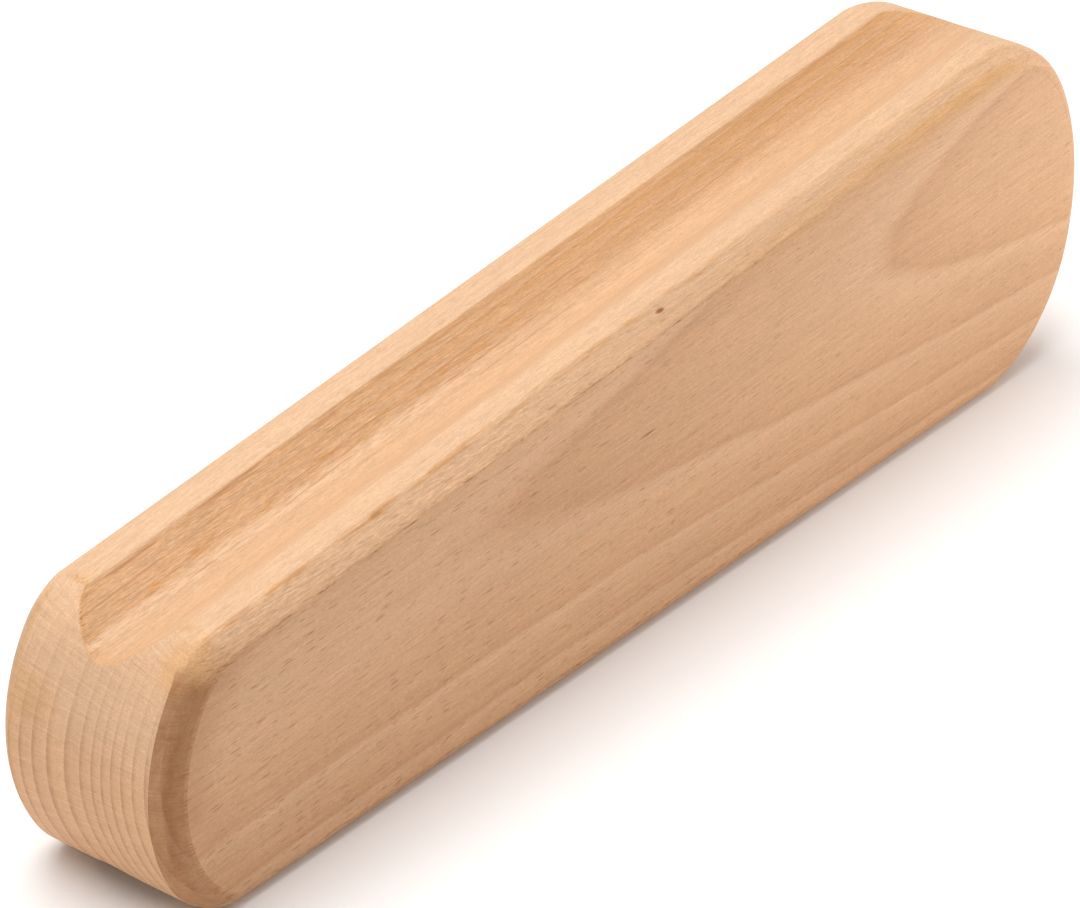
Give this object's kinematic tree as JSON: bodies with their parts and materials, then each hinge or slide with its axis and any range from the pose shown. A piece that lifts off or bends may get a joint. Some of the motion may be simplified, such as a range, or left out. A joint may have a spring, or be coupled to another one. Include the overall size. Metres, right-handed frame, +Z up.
{
  "type": "tailor's clapper",
  "caption": "Solid beech tailor's clapper: a tapered block with rounded ends, flat pressing faces and finger grooves along its long edges, held down on a seam to set the crease.",
  "frame": {"origin": "bottom centre of the bounding box, on the surface that the block stands on, midway along the lower long edge", "axes": "+X along the lower long edge towards the wide end, +Z up to the upper long edge, -Y out of the pressing face that the picture shows"},
  "size_m": [0.2498, 0.036, 0.0697],
  "materials": {
    "beech": "sanded bare beech, satin"
  },
  "bodies": {
    "root": {"clapper_block": "beech"}
  },
  "joints": []
}
